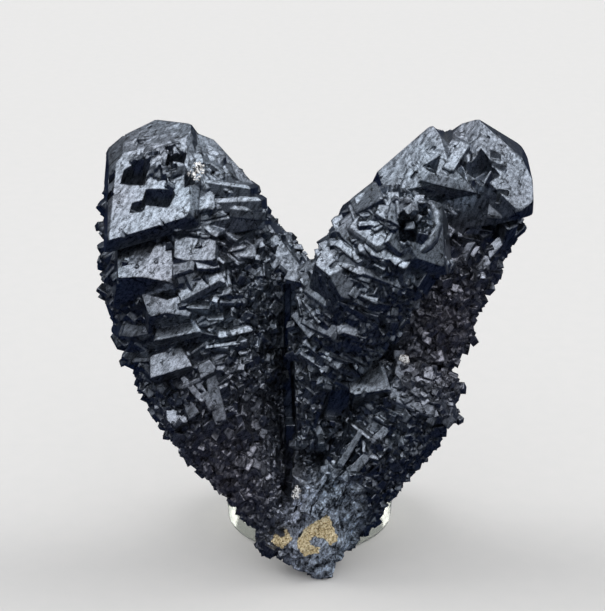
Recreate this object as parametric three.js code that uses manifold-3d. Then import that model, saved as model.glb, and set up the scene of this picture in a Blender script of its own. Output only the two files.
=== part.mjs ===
// A V-shaped group of bornite crystals, standing on its blunt root, with the back of
// the root seated in a small tapered puck of milky acrylic.
// Millimetres, +Z up, +X right, -Y towards the viewer. The origin is the bottom
// centre of the whole. Bornite grows here in parallel: each branch is a stack of
// six-sided plates, and blocky crystals with the same turn stand out of the stack.
import * as THREE from "three";
import { ConvexGeometry } from "three/addons/geometries/ConvexGeometry.js";
import { mergeVertices } from "three/addons/utils/BufferGeometryUtils.js";
import Module from "manifold-3d";

const wasm = await Module();
wasm.setup();

// ---- driving dimensions ----

const PUCK_FOOT_RADIUS = 9.6;
const PUCK_RIM_RADIUS = 10.0;
const PUCK_HEIGHT = 6.5;
const PUCK_EDGE_ROUND = 0.7;
const PUCK_CENTRE = [-0.5, 5.3];
const PUCK_SIDES = 40;
const SEAT_GAP = 0.35; // between the stone and the walls of its seat in the puck
const CORE_SHARE = 0.9; // a branch's solid middle, as a share of its outer size
const CORE_SIDES = 8;
const PLATE_TILT = 0.14; // radians, the most that a plate leans off its branch
const PLATE_PUSH = 0.4; // the most that a plate is moved sideways, each way
const PLATE_TOP_SHARE = 0.93; // a plate's upper face, as a share of its lower one
const CRYSTAL_SIDES = [1.35, 1.1, 0.9]; // as shares of the crystal's size
const CRYSTAL_WOBBLE = 0.16; // radians, the most that a crystal turns off its branch's lattice
const LEAST_EDGE = 0.1; // shorter edges left by the joins are closed up
const FAR = 100; // the side of the boxes that cut off what is past a level

// Each branch: its middle line from the root outwards as [x, y, z, half width, half depth];
// its plates as count, first and last thickness, and the turns of their corners in degrees,
// 0 at +X and 90 at the back; and the crystals that stand out of it as count, first and
// last size, and the turn of the whole lattice about X, Y and the branch in degrees.
const BRANCHES = {
  root: {
    line: [
      [0.8, -9.6, -0.6, 1.5, 1.3],
      [0.2, -8.8, 1.2, 3.4, 2.4],
      [-0.8, -7.4, 3.6, 4.6, 3.6],
      [-0.8, -5.6, 7.0, 5.0, 4.4],
    ],
    plates: { count: 4, thickness: [1.2, 1.6], corners: [10, 75, 130, 190, 255, 310] },
    crystals: { count: 8, size: [1.6, 2.4], lattice: [10, 20, 0] },
  },
  leftLobe: {
    line: [
      [-3.0, -6.2, 3.4, 2.6, 2.6],
      [-6.2, -4.8, 7.6, 3.4, 3.8],
      [-8.8, -3.4, 12.4, 5.5, 5.6],
      [-11.1, -2.0, 18.6, 7.3, 6.8],
      [-12.2, -1.0, 24.8, 8.6, 7.4],
      [-12.9, -0.2, 31.0, 9.8, 7.8],
      [-14.0, 0.3, 36.8, 9.2, 7.6],
      [-15.3, 0.6, 41.6, 7.4, 6.6],
      [-16.0, 0.6, 45.0, 5.0, 4.8],
      [-16.2, 0.6, 46.8, 2.4, 2.4],
    ],
    plates: { count: 9, thickness: [1.8, 3.6], corners: [15, 78, 140, 200, 248, 318] },
    crystals: { count: 34, size: [1.8, 4.6], lattice: [0, 0, 28] },
  },
  frontFinger: {
    line: [
      [-0.6, -4.2, 15.6, 3.0, 3.2],
      [0.9, -5.2, 21.8, 3.9, 3.8],
      [2.7, -6.3, 27.8, 5.0, 4.4],
      [4.5, -7.5, 33.0, 5.7, 4.8],
      [6.7, -8.6, 38.0, 5.3, 4.6],
      [8.4, -9.4, 41.6, 4.0, 3.6],
      [9.1, -9.7, 43.0, 2.2, 2.0],
    ],
    plates: { count: 9, thickness: [1.4, 2.4], corners: [20, 85, 150, 205, 262, 325] },
    crystals: { count: 18, size: [1.8, 3.0], lattice: [8, 12, 40] },
  },
  backFinger: {
    line: [
      [4.0, -0.2, 10.0, 5.0, 5.2],
      [7.6, 0.9, 17.0, 5.2, 5.2],
      [11.5, 1.8, 23.8, 6.1, 5.4],
      [13.8, 2.7, 30.0, 6.2, 5.6],
      [15.7, 3.5, 35.6, 7.8, 6.4],
      [15.6, 4.0, 40.2, 9.0, 6.8],
      [15.8, 4.4, 44.4, 6.8, 5.4],
      [16.4, 4.6, 47.0, 3.4, 2.8],
    ],
    plates: { count: 7, thickness: [1.8, 3.6], corners: [0, 62, 128, 182, 240, 305] },
    crystals: { count: 24, size: [2.2, 4.6], lattice: [40, 33, 20] },
  },
  lowFinger: {
    line: [
      [0.6, -6.8, 3.4, 3.2, 3.0],
      [3.2, -5.8, 7.6, 4.8, 4.4],
      [5.8, -4.8, 12.2, 5.7, 5.2],
      [8.6, -4.0, 16.8, 5.7, 5.2],
      [10.6, -3.5, 20.2, 4.9, 4.6],
      [11.3, -3.3, 22.2, 3.0, 2.8],
    ],
    plates: { count: 7, thickness: [1.4, 2.2], corners: [12, 70, 135, 195, 250, 312] },
    crystals: { count: 16, size: [1.8, 3.2], lattice: [0, 15, 15] },
  },
  backWeb: {
    line: [
      [-1.2, -3.2, 4.4, 4.0, 4.2],
      [-0.9, -1.2, 9.6, 5.8, 5.2],
      [-0.6, 0.6, 17.0, 7.2, 5.2],
      [-1.0, 1.6, 24.0, 7.4, 4.8],
      [-2.2, 2.2, 29.4, 4.6, 3.6],
      [-2.9, 2.4, 32.0, 2.0, 1.8],
    ],
    plates: { count: 5, thickness: [1.8, 2.8], corners: [5, 65, 125, 185, 245, 305] },
    crystals: { count: 13, size: [2.0, 3.4], lattice: [20, 0, 30] },
  },
};

// ---- solids from three.js geometry ----

// A seeded random number from 0 to 1, so that the stone is the same each time.
function seeded(seed) {
  let state = seed;
  return () => {
    state = (state + 0x6d2b79f5) | 0;
    let mixed = Math.imul(state ^ (state >>> 15), 1 | state);
    mixed = (mixed + Math.imul(mixed ^ (mixed >>> 7), 61 | mixed)) ^ mixed;
    return ((mixed ^ (mixed >>> 14)) >>> 0) / 4294967296;
  };
}

function between(random, low, high) {
  return low + (high - low) * random();
}

function solidOf(geometry) {
  const bare = geometry.clone();
  bare.deleteAttribute("normal");
  bare.deleteAttribute("uv");
  const merged = mergeVertices(bare, 1e-4);
  return new wasm.Manifold(
    new wasm.Mesh({
      numProp: 3,
      vertProperties: new Float32Array(merged.attributes.position.array),
      triVerts: new Uint32Array(merged.index.array),
    }),
  );
}

function geometryOf(solid) {
  const mesh = solid.getMesh();
  return new THREE.BufferGeometry()
    .setAttribute("position", new THREE.BufferAttribute(new Float32Array(mesh.vertProperties), 3))
    .setIndex(new THREE.BufferAttribute(new Uint32Array(mesh.triVerts), 1));
}

function convex(points) {
  return solidOf(new ConvexGeometry(points));
}

// The largest of the separate bodies that a join or a cut leaves.
function mainBody(solid) {
  return solid.decompose().sort((a, b) => b.volume() - a.volume())[0];
}

// ---- where a branch is at a share t of its length ----

function placeOn(branch, t) {
  const curve = new THREE.CatmullRomCurve3(
    branch.line.map(([x, y, z]) => new THREE.Vector3(x, y, z)),
  );
  const last = branch.line.length - 1;
  const before = Math.min(Math.floor(t * last), last - 1);
  const share = t * last - before;
  const mix = (column) =>
    THREE.MathUtils.lerp(branch.line[before][column], branch.line[before + 1][column], share);
  const along = curve.getTangent(t);
  const back = new THREE.Vector3(0, 1, 0).addScaledVector(along, -along.y).normalize();
  const side = new THREE.Vector3().crossVectors(back, along);
  return { middle: curve.getPoint(t), along, side, back, width: mix(3), depth: mix(4) };
}

// A point of the branch's skin: turn runs round it, 0 at +X and a quarter turn at the back.
function skinPoint(place, turn, share) {
  return place.middle
    .clone()
    .addScaledVector(place.side, Math.cos(turn) * place.width * share)
    .addScaledVector(place.back, Math.sin(turn) * place.depth * share);
}

// A small random turn, at most reach radians about each axis.
function wobble(random, reach) {
  const turns = Array.from({ length: 3 }, () => between(random, -reach, reach));
  return new THREE.Quaternion().setFromEuler(new THREE.Euler(...turns));
}

// ---- the core, the plates and the crystals of one branch ----

function coreOf(branch) {
  const steps = branch.line.length;
  const ring = (k) => {
    const place = placeOn(branch, k / (steps - 1));
    return Array.from({ length: CORE_SIDES }, (_, i) =>
      skinPoint(place, (2 * Math.PI * i) / CORE_SIDES, CORE_SHARE),
    );
  };
  return Array.from({ length: steps - 1 }, (_, k) => convex([...ring(k), ...ring(k + 1)]));
}

// A six-sided plate across the branch, a little tilted and pushed off its middle.
function plateAt(branch, t, thickness, random) {
  const place = placeOn(branch, t);
  const tilt = wobble(random, PLATE_TILT);
  const push = place.side
    .clone()
    .multiplyScalar(between(random, -PLATE_PUSH, PLATE_PUSH))
    .addScaledVector(place.back, between(random, -PLATE_PUSH, PLATE_PUSH));
  const grown = between(random, 0.94, 1.1);
  const points = [];
  for (const degrees of branch.plates.corners) {
    const turn = THREE.MathUtils.degToRad(degrees + between(random, -9, 9));
    const reach = grown * between(random, 0.96, 1.1);
    const flat = skinPoint(place, turn, reach).sub(place.middle).applyQuaternion(tilt);
    for (const [level, inset] of [[-0.5, 1], [0.5, PLATE_TOP_SHARE]]) {
      points.push(
        flat
          .clone()
          .multiplyScalar(inset)
          .addScaledVector(place.along, level * thickness)
          .add(place.middle)
          .add(push),
      );
    }
  }
  return convex(points);
}

function platesOf(branch, random) {
  const { count, thickness } = branch.plates;
  return Array.from({ length: count }, (_, i) => {
    const t = (i + 0.6) / (count + 0.1);
    return plateAt(branch, t, THREE.MathUtils.lerp(thickness[0], thickness[1], t), random);
  });
}

// A blocky crystal: a box of three unequal sides, narrower at its free end, one corner cut.
function crystal(middle, axes, sides, random) {
  const cut = Math.floor(random() * 4);
  const points = [];
  for (const c of [-0.5, 0.5]) {
    [[-0.5, -0.5], [-0.5, 0.5], [0.5, 0.5], [0.5, -0.5]].forEach(([a, b], corner) => {
      const taper = c > 0 ? between(random, 0.74, 0.95) : 1;
      const share = c > 0 && corner === cut ? 0.5 : 1;
      points.push(
        middle
          .clone()
          .addScaledVector(axes[0], a * sides[0] * taper * share)
          .addScaledVector(axes[1], b * sides[1] * taper)
          .addScaledVector(axes[2], c * sides[2]),
      );
    });
  }
  return convex(points);
}

function crystalsOf(branch, random) {
  const { count, size, lattice } = branch.crystals;
  const turns = lattice.map(THREE.MathUtils.degToRad);
  const set = new THREE.Quaternion().setFromEuler(new THREE.Euler(...turns));
  const golden = Math.PI * (3 - Math.sqrt(5));
  return Array.from({ length: count }, (_, i) => {
    const t = (i + 0.5) / count;
    const place = placeOn(branch, t);
    const turn = i * golden + between(random, -0.4, 0.4);
    const across = THREE.MathUtils.lerp(size[0], size[1], t) * between(random, 0.65, 1.15);
    const skin = skinPoint(place, turn, 1);
    const inward = place.middle.clone().sub(skin).normalize();
    const middle = skin.addScaledVector(inward, across * between(random, 0.35, 0.6));
    const basis = new THREE.Matrix4().makeBasis(place.side, place.back, place.along);
    const turned = new THREE.Quaternion()
      .setFromRotationMatrix(basis)
      .multiply(set)
      .multiply(wobble(random, CRYSTAL_WOBBLE));
    const axes = [[1, 0, 0], [0, 1, 0], [0, 0, 1]].map((axis) =>
      new THREE.Vector3(...axis).applyQuaternion(turned),
    );
    const sides = CRYSTAL_SIDES.map((share) => across * share * between(random, 0.8, 1.2));
    return crystal(middle, axes, sides, random);
  });
}

// ---- the two nodes ----

function borniteCluster() {
  const pieces = [];
  Object.values(BRANCHES).forEach((branch, i) => {
    const random = seeded(11 + 7 * i);
    pieces.push(...coreOf(branch), ...platesOf(branch, random), ...crystalsOf(branch, random));
  });
  const ground = solidOf(new THREE.BoxGeometry(FAR, FAR, FAR).translate(0, 0, -FAR / 2));
  const joined = wasm.Manifold.union(pieces).subtract(ground);
  return mainBody(joined.simplify(LEAST_EDGE));
}

// The puck is cut by the convex outline of the root and the seat's gap round it.
function acrylicPuck(stone) {
  const r = PUCK_EDGE_ROUND;
  const outline = [
    [0, 0],
    [PUCK_FOOT_RADIUS - r, 0],
    [PUCK_FOOT_RADIUS - 0.2 * r, 0.3 * r],
    [PUCK_FOOT_RADIUS + 0.1 * r, r],
    [PUCK_RIM_RADIUS, PUCK_HEIGHT - r],
    [PUCK_RIM_RADIUS - 0.3 * r, PUCK_HEIGHT - 0.3 * r],
    [PUCK_RIM_RADIUS - r, PUCK_HEIGHT],
    [0, PUCK_HEIGHT],
  ].map(([x, y]) => new THREE.Vector2(x, y));
  const whole = solidOf(
    new THREE.LatheGeometry(outline, PUCK_SIDES).rotateX(Math.PI / 2).translate(...PUCK_CENTRE, 0),
  );
  const low = solidOf(new THREE.BoxGeometry(FAR, FAR, 2 * PUCK_HEIGHT));
  const root = geometryOf(stone.intersect(low)).getAttribute("position");
  const corners = [];
  for (let i = 0; i < root.count; i++) {
    for (const [x, y, z] of [[1, 1, 1], [-1, 1, 1], [1, -1, 1], [-1, -1, 1]]) {
      const corner = new THREE.Vector3().fromBufferAttribute(root, i);
      corners.push(corner.add(new THREE.Vector3(x, y, z).multiplyScalar(SEAT_GAP)));
      corners.push(corner.clone().setZ(corner.z - 2 * SEAT_GAP));
    }
  }
  return mainBody(whole.subtract(convex(corners)));
}

const materials = {
  bornite: new THREE.MeshStandardMaterial({ color: 0x2b303b, roughness: 0.45, metalness: 0.8 }),
  acrylic: new THREE.MeshStandardMaterial({ color: 0xd9dcd2, roughness: 0.25, metalness: 0 }),
};

const stone = borniteCluster();
const solids = {
  bornite_cluster: [stone, "bornite"],
  acrylic_puck: [acrylicPuck(stone), "acrylic"],
};
const group = new THREE.Group();
const box = new THREE.Box3();
for (const [name, [solid, material]] of Object.entries(solids)) {
  const mesh = new THREE.Mesh(geometryOf(solid), materials[material]);
  mesh.name = name;
  group.add(mesh);
  box.expandByObject(mesh);
}
const centre = box.getCenter(new THREE.Vector3());
group.position.set(-centre.x, -centre.y, -box.min.z);

export default group;
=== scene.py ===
"""A V-shaped group of bornite crystals that stands on its root against a puck of milky acrylic.

The group has five fingers and a web between them. Each is a solid middle with crystals set
close together over its skin, and the whole is joined into one solid. Smaller crystals and a
patch of chalcopyrite grow on it. Lengths in the tables are in millimetres, before the group
is centred; x runs to the right, y to the back and z up.
"""
from functools import partial
from itertools import combinations

import bpy
import numpy as np
from bpy.props import FloatProperty, FloatVectorProperty, IntProperty, PointerProperty
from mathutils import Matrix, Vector


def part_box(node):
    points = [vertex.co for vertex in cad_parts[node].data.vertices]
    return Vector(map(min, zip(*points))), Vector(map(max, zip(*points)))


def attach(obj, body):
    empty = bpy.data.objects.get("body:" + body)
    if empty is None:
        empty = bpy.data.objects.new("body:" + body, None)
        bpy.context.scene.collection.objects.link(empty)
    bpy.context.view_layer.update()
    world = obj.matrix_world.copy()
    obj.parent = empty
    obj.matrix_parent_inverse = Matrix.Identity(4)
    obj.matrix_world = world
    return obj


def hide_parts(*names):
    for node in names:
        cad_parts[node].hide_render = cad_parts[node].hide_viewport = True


bl_info = {
    "name": "Bornite crystal group",
    "version": (1, 0, 0),
    "blender": (4, 5, 0),
    "location": "3D View > Sidebar > Bornite",
    "description": "Makes a bornite crystal group, its acrylic puck and a plain studio",
    "category": "Object",
}

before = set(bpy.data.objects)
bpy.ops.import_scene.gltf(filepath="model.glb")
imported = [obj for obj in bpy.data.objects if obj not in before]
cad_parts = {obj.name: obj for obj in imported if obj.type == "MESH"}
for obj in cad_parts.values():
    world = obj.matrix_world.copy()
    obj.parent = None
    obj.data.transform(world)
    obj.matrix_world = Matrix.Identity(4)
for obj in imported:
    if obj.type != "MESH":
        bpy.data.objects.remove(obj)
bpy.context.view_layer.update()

MM = 0.001

# The floor's half width, the backdrop's radius and height, and the point that the camera
# looks at, in metres.
FLOOR_HALF = 60
WALL_RADIUS = 3.2
WALL_HEIGHT = 3
LOOKED_AT = Vector((-0.00186, -0.00094, 0.02845))

# Where the puck's middle was before the group was centred, and its rim's radius, in mm.
PUCK_MIDDLE = (-0.5, 5.3)
PUCK_RIM = 10.0

# Each branch's middle line from the root outwards: x, y, z, half width, half depth.
BRANCHES = {
    "root": [
        (0.5, -9.3, 0.2, 0.8, 0.8),
        (0.4, -9.1, 1.5, 1.9, 1.6),
        (-0.5, -8.2, 3.4, 3.6, 2.8),
        (-0.9, -6.2, 6.6, 4.8, 4.2),
    ],
    "left lobe": [
        (-2.3, -6.2, 3.6, 1.9, 2.4),
        (-5.3, -4.8, 7.8, 2.9, 3.8),
        (-8.2, -3.4, 12.4, 4.5, 5.6),
        (-10.9, -2.0, 18.6, 6.6, 6.8),
        (-12.3, -1.0, 24.8, 8.5, 7.2),
        (-13.2, -0.2, 31.0, 9.4, 7.2),
        (-14.1, 0.3, 36.8, 9.2, 6.6),
        (-15.2, 0.8, 41.6, 7.6, 5.6),
        (-16.0, 1.0, 45.0, 4.8, 4.2),
        (-16.2, 1.0, 46.8, 2.4, 2.4),
    ],
    "front finger": [
        (-0.6, -4.2, 15.6, 2.8, 3.0),
        (0.9, -5.2, 21.8, 3.7, 3.6),
        (2.7, -6.3, 27.8, 4.9, 4.2),
        (4.5, -7.5, 33.0, 5.6, 4.7),
        (6.7, -8.4, 38.0, 5.2, 4.3),
        (8.4, -9.0, 41.6, 3.9, 3.3),
        (9.1, -9.2, 43.0, 2.2, 2.0),
    ],
    "back finger": [
        (4.0, -0.2, 10.0, 4.8, 5.0),
        (7.6, 0.9, 17.0, 4.6, 5.0),
        (11.4, 1.8, 23.8, 5.1, 5.2),
        (13.6, 2.7, 30.0, 5.3, 5.0),
        (15.3, 3.5, 35.6, 6.3, 5.0),
        (15.9, 4.2, 40.2, 7.3, 5.0),
        (15.8, 4.6, 44.2, 5.8, 4.4),
        (16.2, 4.6, 46.4, 3.0, 2.6),
    ],
    "low finger": [
        (0.6, -6.8, 3.4, 3.0, 2.8),
        (3.0, -5.8, 7.6, 4.2, 4.2),
        (5.5, -4.8, 12.2, 4.7, 5.1),
        (8.6, -4.0, 16.8, 5.2, 5.1),
        (10.6, -3.5, 20.2, 4.8, 4.5),
        (11.3, -3.3, 22.2, 3.0, 2.8),
    ],
    "web": [
        (-1.2, -3.2, 4.4, 4.0, 4.0),
        (-0.9, -1.2, 9.6, 5.6, 5.0),
        (-0.6, 0.6, 17.0, 7.0, 5.0),
        (-1.0, 1.6, 24.0, 7.2, 4.6),
        (-2.2, 2.2, 29.4, 4.6, 3.6),
        (-2.9, 2.4, 32.0, 2.0, 1.8),
    ],
}

# A crystal's proportions: along the skin, out of it and up the branch.
HABITS = {
    "block": (1.25, 1.0, 0.9),
    "slab": (1.5, 1.3, 0.6),
    "plate": (1.7, 1.5, 0.32),
    "grain": (1.1, 1.0, 0.9),
    "blade": (0.5, 1.1, 1.6),
}

# Stretches of crystals: branch, share of its length from and to, turn round it from and to
# in degrees (0 is +X, 90 behind, 270 in front), how many, habit, size from and to, height
# out of the skin from and to, lean outwards, roll across and wobble in degrees.
STRETCHES = [
    ("root", 0.0, 0.3, 0, 360, 40, "grain", 0.7, 1.5, 0.0, 0.5, 25, 0, 14),
    ("root", 0.3, 1.0, -60, 190, 70, "grain", 0.7, 1.5, 0.0, 0.5, 25, 0, 14),
    ("root", 0.62, 1.0, 190, 250, 16, "grain", 0.7, 1.5, 0.0, 0.4, 25, 0, 14),
    ("left lobe", 0.0, 0.4, 170, 360, 250, "grain", 0.9, 1.9, 0.0, 0.5, 34, -14, 14),
    ("left lobe", 0.34, 0.66, 170, 290, 90, "slab", 1.6, 3.4, 0.0, 0.7, 38, -16, 7),
    ("left lobe", 0.36, 0.76, 285, 370, 110, "plate", 1.6, 3.2, 0.0, 0.5, 30, 10, 9),
    ("left lobe", 0.24, 0.72, 120, 205, 60, "block", 1.6, 3.2, 0.1, 0.8, 25, 10, 10),
    ("left lobe", 0.26, 0.66, 175, 295, 64, "slab", 2.6, 4.4, 0.3, 1.2, 42, -12, 8),
    ("left lobe", 0.36, 0.76, 275, 345, 60, "slab", 2.2, 3.8, 0.3, 1.1, 40, 4, 9),
    ("front finger", 0.3, 0.8, 200, 340, 44, "slab", 2.2, 3.8, 0.2, 0.9, 44, 0, 9),
    ("low finger", 0.3, 1.0, 200, 340, 34, "slab", 2.0, 3.4, 0.2, 0.9, 44, 0, 9),
    ("back finger", 0.3, 0.62, 230, 340, 26, "slab", 1.6, 3.0, 0.1, 0.8, 40, 0, 10),
    ("left lobe", 0.05, 0.8, 0, 140, 190, "block", 1.4, 3.0, 0.0, 0.6, 32, 0, 8),
    ("left lobe", 0.66, 1.0, 40, 140, 34, "block", 2.5, 4.5, 0.0, 0.5, 15, 0, 6),
    ("front finger", 0.0, 0.62, 150, 400, 230, "plate", 1.2, 2.6, 0.0, 0.6, 30, 14, 8),
    ("front finger", 0.3, 0.68, 150, 400, 110, "slab", 1.2, 2.2, 0.0, 0.6, 42, 6, 14),
    ("front finger", 0.64, 0.97, 150, 400, 44, "block", 1.8, 3.6, 0.0, 0.7, 38, 4, 12),
    ("front finger", 0.3, 1.0, 20, 160, 80, "block", 1.4, 2.8, 0.0, 0.8, 30, 0, 8),
    ("back finger", 0.0, 0.66, 180, 400, 250, "grain", 1.0, 2.0, 0.0, 0.5, 20, 0, 32),
    ("back finger", 0.0, 0.66, 40, 180, 150, "block", 1.4, 3.0, 0.0, 0.6, 32, 0, 9),
    ("back finger", 0.6, 0.9, 15, 165, 40, "block", 2.6, 4.6, 0.0, 0.7, 30, 0, 7),
    ("low finger", 0.0, 1.0, 150, 400, 200, "blade", 1.2, 2.6, 0.0, 0.6, 15, 0, 10),
    ("low finger", 0.3, 1.0, 40, 150, 60, "block", 1.2, 2.4, 0.0, 0.7, 30, 0, 9),
    ("web", 0.0, 1.0, 0, 360, 150, "block", 1.4, 2.8, 0.0, 0.8, 32, 0, 8),
    ("left lobe", 0.6, 0.84, 160, 205, 16, "block", 2.4, 3.8, 0.5, 1.1, 22, 0, 8),
]

# Single large crystals: the middle of the top face, then wide, deep and high, then lean to
# the front, lean to the right and spin in degrees, then the share of the back edge and of
# the foot.
CRYSTALS = [
    # stacked plates right of the cap
    (-9.0, -1.3, 43.0, 5.6, 4.6, 1.6, -12, 8, -8, 1.0, 1.0),
    (-8.4, -1.9, 41.5, 6.3, 5.2, 1.5, -13, -3, -3, 1.0, 1.0),
    (-8.9, -2.0, 39.8, 6.6, 5.8, 1.9, -10, -9, 4, 1.0, 1.0),
    (-7.2, -2.6, 40.6, 4.0, 4.6, 1.2, -14, 6, 6, 1.0, 1.0),
    # second slab and the blocks below it
    (-8.2, -4.4, 36.9, 4.4, 3.0, 3.0, 40, 6, 0, 0.8, 0.9),
    (-14.6, -8.3, 28.9, 5.2, 2.0, 1.0, 34, -12, 0, 0.8, 0.9),
    (-15.6, -8.4, 25.2, 4.8, 2.6, 3.0, 48, -18, 0, 0.8, 0.9),
    (-10.6, -9.4, 21.4, 1.5, 5.2, 2.2, 62, 8, 20, 0.8, 0.9),
    (-11.9, -9.2, 21.9, 0.9, 4.4, 2.0, 60, -6, 24, 0.7, 0.9),
    (-13.0, -9.2, 22.3, 0.8, 3.6, 2.0, 58, -12, 30, 0.7, 0.9),
    (-11.6, -8.9, 24.6, 2.2, 1.6, 1.6, 54, -20, 10, 0.7, 0.9),
    (-13.4, -9.0, 20.0, 1.6, 2.2, 2.0, 60, -24, 8, 0.7, 0.9),
    (-15.0, -8.0, 19.0, 2.4, 2.6, 2.4, 46, -14, 0, 0.8, 0.9),
    # bumps outside the left rim
    (-21.8, 1.0, 36.0, 3.4, 3.6, 4.0, 16, -40, 10, 0.9, 0.9),
    (-21.8, 1.0, 32.6, 3.6, 3.4, 4.0, 10, -46, 20, 0.9, 0.9),
    # back finger's end: faces of cubes that stand on a corner
    (15.1, 0.2, 45.4, 1.3, 4.0, 2.0, 40, -6, -34, 1.0, 0.9),
    (13.4, -1.6, 43.2, 4.6, 1.2, 2.0, 62, 14, 0, 0.7, 0.9),
    (19.3, -1.9, 41.4, 1.8, 4.6, 3.0, 62, -14, -16, 0.6, 1.0),
    (17.4, -1.2, 43.8, 1.8, 2.6, 3.0, 34, -40, 30, 0.2, 0.9),
    (20.6, -2.0, 38.8, 2.2, 2.2, 3.0, 20, 10, 45, 0.2, 1.0),
    (21.2, -1.4, 37.4, 3.4, 1.3, 0.7, 40, -24, 20, 0.6, 1.0),
    (19.4, -2.4, 36.2, 3.4, 1.1, 0.6, 46, -28, 24, 0.5, 1.0),
    (18.2, -2.6, 34.2, 2.8, 1.2, 0.6, 44, -30, 30, 0.6, 1.0),
    (16.2, -3.4, 36.0, 2.4, 0.8, 0.6, 50, -34, 30, 0.6, 1.0),
    # front finger's end
    (6.3, -10.6, 42.2, 1.7, 1.8, 2.5, 50, -16, 20, 0.5, 0.9),
    (4.6, -9.8, 40.6, 2.0, 1.6, 2.0, 44, -26, 10, 0.7, 0.9),
    (6.0, -10.8, 41.4, 2.8, 2.0, 3.4, 34, -30, 30, 0.8, 0.8),
    (7.4, -12.5, 38.8, 1.0, 3.2, 2.0, 46, 6, 44, 0.9, 0.9),
    (9.3, -12.5, 38.2, 1.1, 2.8, 2.0, 44, 10, -25, 0.9, 0.9),
    (5.4, -12.2, 37.9, 0.9, 4.0, 2.0, 40, -6, 56, 0.5, 0.9),
    (-0.6, -8.2, 35.2, 2.6, 2.8, 3.0, 38, -34, 0, 0.9, 0.9),
    (5.4, -12.2, 34.6, 3.0, 2.2, 2.0, 44, 14, -16, 0.8, 0.9),
    (10.6, -11.4, 35.8, 2.4, 1.2, 2.4, 40, -34, 30, 0.8, 0.9),
    (1.0, -10.4, 29.4, 1.8, 1.4, 2.0, 50, -10, 0, 0.8, 0.9),
    (3.7, -10.9, 29.6, 2.4, 1.2, 2.0, 50, 10, 0, 0.8, 0.9),
    # low finger's knob and the root's flat front
    (5.6, -8.2, 23.2, 4.6, 3.6, 4.0, 44, -10, 0, 0.8, 0.9),
    (9.6, -8.0, 21.4, 3.0, 3.0, 3.0, 70, 20, 30, 0.9, 0.9),
    (-4.9, -8.6, 4.6, 2.0, 2.2, 2.0, 30, -20, 20, 0.8, 0.8),
    (-5.4, -8.0, 3.6, 1.6, 2.0, 1.4, 20, -30, 50, 0.8, 0.8),
    (-3.4, -9.2, 3.3, 1.6, 1.6, 1.4, 40, 10, 30, 0.8, 0.8),
    (2.6, -9.4, 3.0, 1.6, 1.8, 1.6, 40, 30, 20, 0.8, 0.8),
    (3.6, -8.8, 4.2, 1.8, 1.8, 1.8, 30, 30, 50, 0.8, 0.8),
    # long blades over the root's front and up the low finger, all leaning to the right
    (-0.6, -10.7, 10.0, 0.7, 6.5, 1.6, 72, 12, -24, 0.8, 0.9),
    (2.2, -10.8, 10.6, 1.4, 6.5, 1.8, 68, 16, -30, 0.6, 0.9),
    (5.2, -10.0, 14.4, 1.3, 6.0, 1.8, 60, 8, -36, 0.6, 0.9),
    (3.6, -10.0, 15.4, 0.8, 5.5, 1.8, 62, 0, -32, 0.8, 0.9),
    (7.4, -9.4, 17.6, 1.1, 4.0, 1.8, 58, 6, -38, 0.8, 0.9),
]

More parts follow.
